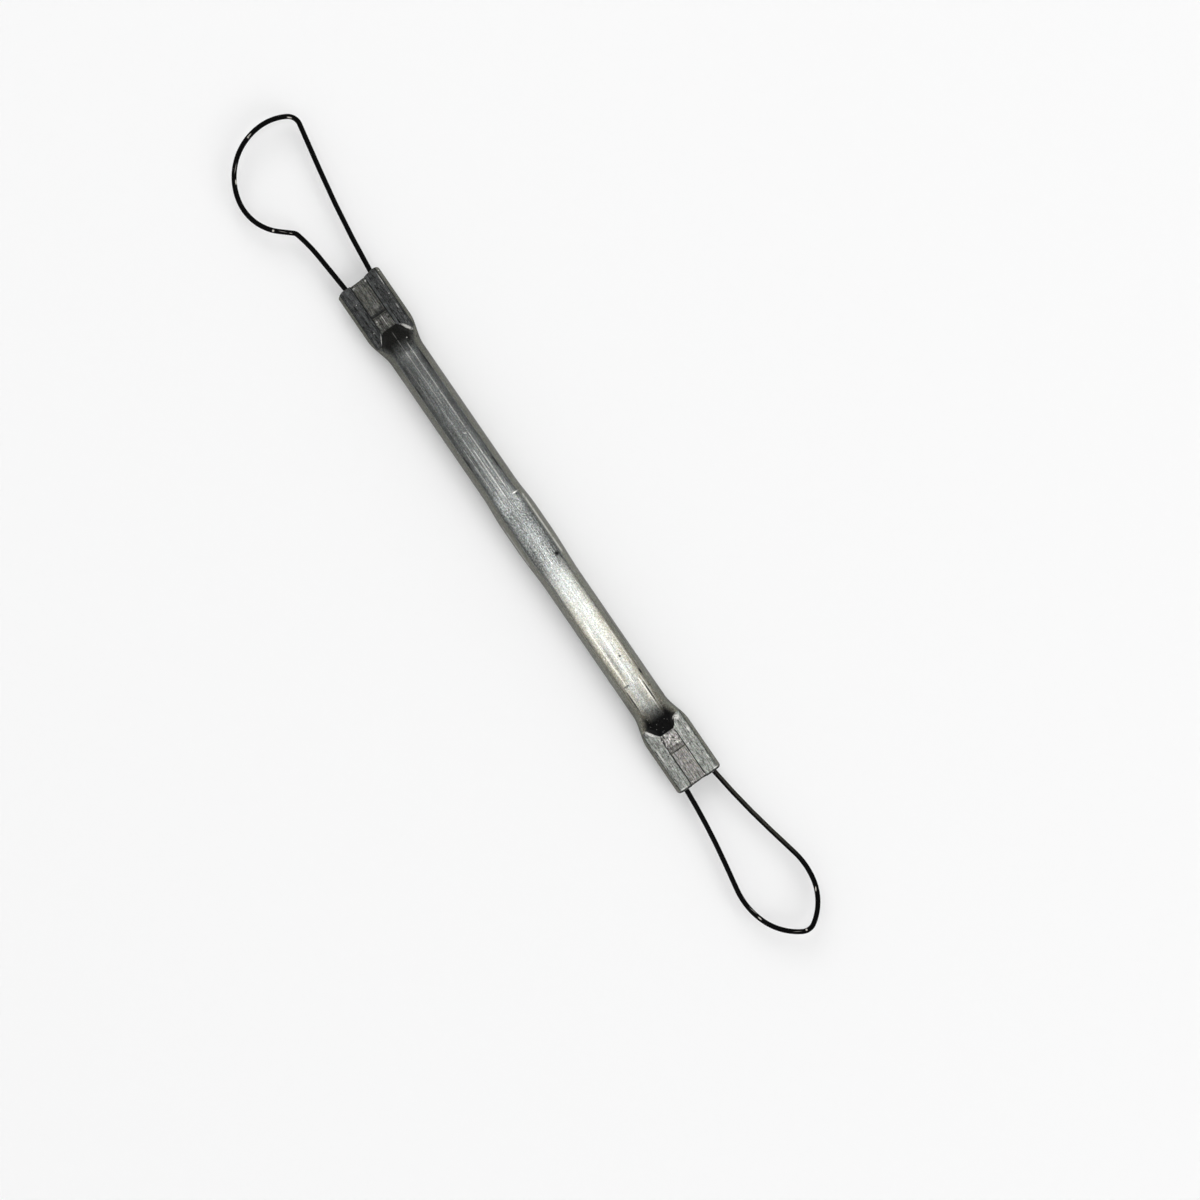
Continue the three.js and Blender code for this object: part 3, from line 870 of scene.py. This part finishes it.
def markSum(place, marks):   # marks of one turn and about one slimness share a stretched place
    alike = {}
    for x, y, turn, length, width, strength in marks:
        turn = markShape["turns"] * round(turn / markShape["turns"])
        slimness = markShape["slimness"] ** round(math.log(length / width, markShape["slimness"]))
        alike.setdefault((turn, slimness), []).append((x, y, length, width, strength))
    total = None
    for (turn, slimness), group in alike.items():
        size = (slimness, 1.0, markShape["flattened"])
        inputs = {"Vector": place, "Rotation": (0.0, 0.0, math.radians(turn)), "Scale": size}
        spot = place.node("Mapping", {"vector_type": "TEXTURE"}, inputs)
        c, s = math.cos(math.radians(turn)), math.sin(math.radians(turn))
        for x, y, length, width, strength in group:
            middle = ((x * c + y * s) / slimness, y * c - x * s, 0.0)
            away = spot.node("VectorMath", {"operation": "DISTANCE"}, {0: spot, 1: middle}, "Value")
            reach = math.sqrt(length / slimness * width) / 2
            mark = away.step(reach, reach * markShape["solid"]) * strength
            total = mark if total is None else total.most(mark)
    return total


# long fine lines along the handle, scratches and painted highlight lines along the grip's facet edges, as (x from, x
# to, y, width, strength), broken into dashes
scratchesAndHighlights = [
    # left half and round middle
    (-41.9, -22.9, 1.24, 0.18, 0.45), (-21.3, -9.3, 1.2, 0.18, 0.5), (-40.8, -28.3, 0.05, 0.2, 0.35),
    (-18.2, -7.2, 0.05, 0.24, 0.35), (-38.5, -29.0, -1.45, 0.16, 0.35), (-19.3, -9.8, -1.45, 0.16, 0.4),
    (-30.0, -8.0, -0.5, 0.14, 0.2), (-6.3, 6.9, 3.05, 0.26, 0.6), (-3.3, 5.7, -3.62, 0.14, 0.3),
    (-45.3, -40.2, 0.0, 0.14, 0.15),
    # right half
    (21.8, 34.8, -1.45, 0.21, 0.3), (24.3, 34.8, 0.15, 0.19, 0.25),
    (22.5, 31.5, 2.1, 0.21, 0.35), (34.6, 41.8, 1.95, 0.16, 0.3), (34.7, 41.7, 1.4, 0.18, 0.45),
    (34.8, 41.2, -1.8, 0.24, 0.2),
]

lineEnd = 0.4
tint = {   # the faint coloured sparkle of bare metal
    "scale": 4.5,
    "detail": 1.0,
    "strength": (0.5, 0.4, 0.55),
    "level": (0.75, 0.8, 0.725),
}


def scratchAndHighlightSum(at):
    total = None
    for low, high, height, width, strength in scratchesAndHighlights:
        line = at.y.near(height, width) * at.x.within(low, high, lineEnd) * strength
        total = line if total is None else total.most(line)
    return total * at.dashed.step(*zones["dashes"])


def tinted(colour, place):
    inputs = {"Vector": place, "Scale": tint["scale"], "Detail": tint["detail"]}
    spots = place.node("TexNoise", {}, inputs, "Color")
    inputs = {0: spots, 1: tint["strength"], 2: tint["level"]}
    shade = spots.node("VectorMath", {"operation": "MULTIPLY_ADD"}, inputs)
    return colour.node("VectorMath", {"operation": "MULTIPLY"}, {0: colour, 1: shade})


def findZones(place, normal):   # what the looks are worked out from at each place on the handle
    at = SimpleNamespace(place=place)
    at.x, at.y, z = split(place)
    tiltX, _, at.tiltUp = split(normal)
    at.onTop = z.step(*zones["top"])
    at.right = at.x.step(*zones["rightHalf"])
    at.fromMouth = endFace - abs(at.x)
    for name, (along, across, scale, detail) in patterns.items():
        drawnOut = place if along == across == 1.0 else stretched(place, along, across)
        setattr(at, name, noise(drawnOut, scale, detail))
    past = abs(at.y).maths("MINIMUM", abs(at.y), pressedEnd["footReach"]) - pressedEnd["footStraight"]
    at.behindFoot = at.fromMouth - past.most(0.0) * pressedEnd["footSlant"] - pressedEnd["jawFoot"]
    at.pressed = at.behindFoot.step(*zones["pressed"])
    at.fromChannel = abs(at.y - crimp["channelOffset"])
    at.inChannel = at.fromChannel.step(*zones["channel"]) * at.pressed * at.onTop

    flatEdge = abs(at.y).step(*zones["flatEdge"]) * at.pressed
    level = abs(at.tiltUp) + (at.fine - 0.5) * drawnAluminium["sideRaggedness"]
    level = level + at.right * drawnAluminium["sideShift"]
    at.sides = level.step(*zones["sides"]).most(flatEdge)
    at.under = at.tiltUp.step(*zones["under"])
    outward = tiltX * (at.right * 2.0 - 1.0)
    # the place of the painted shade on a slope
    slope = at.behindFoot.step(*zones["slopeFrom"]) * at.behindFoot.step(*zones["slopeTo"])
    slope = slope * outward.step(*zones["outward"])
    narrowing = abs(at.y) + at.behindFoot * drawnAluminium["slopeTaper"]
    at.slope = slope * narrowing.step(*zones["slopeWidth"])
    at.middle = at.x.within(*zones["roundMiddle"]) * (1.0 - at.sides)
    return at


def handleColour(at):
    look = drawnAluminium
    colour = mixed(at.streaks.step(*zones["cleanStreaks"]), look["worn"], look["clean"])
    warmth = abs(at.y).step(*zones["warmEdge"]) * look["warmEdges"]
    warmth = warmth + (at.cloud - 0.5) * look["warmClouds"] + look["warmEverywhere"]
    colour = mixed(at.x.step(*zones["warmth"]) * warmth, colour, look["warm"])
    # painted shade, darker towards the left neck
    colour = scaled(colour, 1.0 - at.x.step(*zones["leftShade"]) * look["leftShade"])

    # painted shade on the left end and painted light on the right end
    landColour = mixed(at.right, look["leftLandShade"], look["rightLandLight"])
    channelColour = mixed(at.right, look["leftChannelShade"], look["rightChannelLight"])
    endColour = mixed(at.inChannel, landColour, channelColour)
    scuffs = (at.streaks - 0.5) * look["endStreaks"] + (at.scuffed - 0.5) * look["endScuffs"]
    colour = mixed(at.pressed, colour, scaled(endColour, scuffs + 1.0))
    bridge = at.fromMouth.step(*zones["bridge"]) * at.inChannel
    blows = (at.hammered - 0.5) * (at.right + 1.0) * look["hammering"] + at.right * look["paleBridge"]
    colour = scaled(colour, bridge * blows + 1.0)
    # painted shade on the rounded step
    step = at.fromMouth.within(*zones["step"]) * at.inChannel
    dark, lessDark = look["stepShade"]
    colour = scaled(colour, 1.0 - step * (dark - at.right * lessDark))

    # painted shade on the sides, darker on the left half
    paintedSideShade = mixed(at.x.step(*zones["rightSideShade"]), look["leftSideShade"], look["rightSideShade"])
    colour = mixed(at.sides, colour, paintedSideShade)
    # painted shade on faces that turn sideways
    colour = mixed(abs(at.tiltUp).step(*zones["upright"]) * look["uprightShade"], colour, look["dirtAndShade"])
    colour = mixed(at.under, colour, look["under"])
    # painted shade on the slopes
    colour = mixed(at.slope, colour, mixed(at.right, look["leftSlopeShade"], look["rightSlopeShade"]))
    speckle = (at.grain - 0.5) * (at.middle + look["grain"])
    speckle = speckle + (at.fine - 0.5) * look["fineLines"]
    return scaled(colour, speckle + 1.0 - at.middle * look["middleDarkness"])


def addDirtAndShade(colour, at):
    look = drawnAluminium
    # dark marks and painted shadows
    marks = markSum(at.place, darkMarksAndShadows) * at.onTop * at.fine.step(*zones["darkParts"])
    pits = at.sparkle.step(*zones["pits"]) * look["pitDirt"]
    # painted shade in the grooves at the foot of the channel's walls
    shaded, lessShaded = look["wallShade"]
    walls = abs(at.fromChannel - crimp["channelHalfWidth"]).step(*zones["wallFoot"])
    walls = walls * at.fromMouth.within(*zones["wallRun"]) * at.onTop * (shaded - at.right * lessShaded)
    # painted shade along the folds at the edges of the pressed ends
    folds = abs(at.y).near(*zones["foldLine"]) * at.pressed * at.streaks.step(*zones["brokenFolds"])
    # painted shade along the rim of the right end
    rim = at.fromMouth.step(*zones["rim"]) * at.right * at.onTop * look["rimShade"]
    # the pits are dirt, the marks are dirt and painted shadows, and the walls, folds and rim are painted shade
    dirtAndShade = marks.most(pits).most(walls).most(folds * look["foldShade"]).most(rim)
    return mixed(dirtAndShade, colour, look["dirtAndShade"])


def makeAluminium():
    look = drawnAluminium
    material, surface, place, normal = startMaterial("tube_aluminium")
    at = findZones(place, normal)
    colour = addDirtAndShade(tinted(handleColour(at), place), at)
    # bright marks, with painted highlights among them, and scratches with painted highlight lines
    bright = markSum(place, brightMarksAndHighlights) * at.onTop * at.sparkle.step(*zones["brightParts"])
    bright = bright.most(scratchAndHighlightSum(at) * at.onTop)
    bare, barer = look["chips"]
    chips = at.chipped.step(*zones["chips"]) * (at.right * barer + bare)
    plug(mixed(bright.most(chips), colour, look["bare"]), surface, "Base Color")

    rough = (at.fine - 0.5) * look["fineRoughness"] + (at.cloud - 0.5) * look["cloudRoughness"]
    rough = rough + look["roughness"] + at.behindFoot.step(*zones["knee"]) * look["kneeRoughness"]
    rough = rough + at.sides * look["sideRoughness"]
    pressedMore = look["pressedRoughness"] - look["roughness"] - look["kneeRoughness"]
    plug(rough + at.pressed * pressedMore + at.slope * look["slopeRoughness"], surface, "Roughness")

    torn = bright * at.behindFoot.step(*zones["torn"]) * look["tornDullness"]
    plug(1.0 - torn.most(at.sides * (1.0 - at.under) * look["sideDullness"]), surface, "Metallic")

    height = at.streaks * look["streakHeight"] + at.fine * look["fineHeight"] + at.grain * look["grainHeight"]
    height = height + at.hammered * at.pressed * look["hammeredHeight"]
    inputs = {"Height": height, "Distance": look["reliefDepth"] * mm, "Strength": 1.0}
    plug(height.node("Bump", {}, inputs), surface, "Normal")
    return material


blackenedWire = {
    "colour": (0.0012, 0.0012, 0.0012),
    # painted reflection along the upper side of the pear's legs
    "paintedLegReflection": (0.03, 0.028, 0.023),
    # painted glints on the wire's bends
    "glint": (0.6, 0.57, 0.52),
    "wear": (2.5, 3.0),        # scale and detail of the pattern
    "wearStrength": 3.0,
    "roughness": 0.25,
    "wornRoughness": 0.4,      # how much the wear varies it
    "sheen": 0.05,             # how much it mirrors, 0.5 being plain varnish
    "reliefDepth": 0.01,
    "relief": 0.5,
    "legsAlong": (57.0, 78.0, 4.0),   # where the legs get the painted reflection: along x, by the tilts up and to +Y, and by y
    "legsUp": (0.1, 0.6),
    "legsAcross": (-0.25, 0.1),
    "legsBeside": (0.0, 0.5),
    "glintUp": (0.0, 0.3),
}

# painted glints where the wire's bends mirror the light, as the marks above
paintedGlints = [
    (-90.15, 7.0, 45, 1.0, 0.4, 0.9), (-91.65, -1.2, 105, 1.6, 0.3, 0.5), (-91.5, -1.6, 105, 0.7, 0.35, 0.7),
    (-85.8, -8.3, -30, 1.2, 0.36, 1.0), (-88.0, -6.9, -45, 2.2, 0.2, 0.35), (-74.2, -7.7, 45, 0.8, 0.4, 1.0),
    (-71.9, -5.2, 45, 0.7, 0.24, 0.5), (-73.0, -6.3, 45, 1.8, 0.16, 0.35),
    (86.9, 6.42, -30, 1.0, 0.36, 1.0), (92.3, 0.6, 60, 0.7, 0.36, 1.0), (91.6, -1.0, 60, 2.0, 0.16, 0.3),
    (85.5, -5.48, 15, 1.0, 0.34, 1.0), (83.6, -5.7, 15, 1.8, 0.2, 0.4),
]


def makeWireFinish():
    look = blackenedWire
    material, surface, place, normal = startMaterial("blackened_wire")
    x, y, _ = split(place)
    _, tiltY, tiltUp = split(normal)
    worn = noise(place, *look["wear"])
    # painted reflection on the legs
    legs = x.within(*look["legsAlong"]) * tiltUp.step(*look["legsUp"])
    legs = legs * tiltY.step(*look["legsAcross"]) * y.step(*look["legsBeside"])
    colour = mixed(legs, look["colour"], look["paintedLegReflection"])
    colour = scaled(colour, (worn - 0.5) * look["wearStrength"] + 1.0)
    # painted glints on the bends
    bare = markSum(place, paintedGlints) * tiltUp.step(*look["glintUp"])
    plug(mixed(bare, colour, look["glint"]), surface, "Base Color")
    plug((worn - 0.5) * look["wornRoughness"] + look["roughness"], surface, "Roughness")
    inputs = {"Height": worn, "Distance": look["reliefDepth"] * mm, "Strength": look["relief"]}
    plug(worn.node("Bump", {}, inputs), surface, "Normal")
    surface.inputs["Specular IOR Level"].default_value = look["sheen"]
    return material


def finishPiece(piece, material, node):
    piece.data.materials.clear()
    piece.data.materials.append(material)
    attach(piece, "root")
    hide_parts(node)


handle = makeHandle()
finishPiece(handle, makeAluminium(), "handle_tube")
print("handle made:", len(handle.data.vertices), "points")

wireFinish = makeWireFinish()
for name, loop, end in (("square_end_wire", squareLoop, -1), ("pear_wire", pearLoop, 1)):
    piece = makeLoop(name, loop, end)
    finishPiece(piece, wireFinish, name.replace("wire", "loop"))
print("loops made")
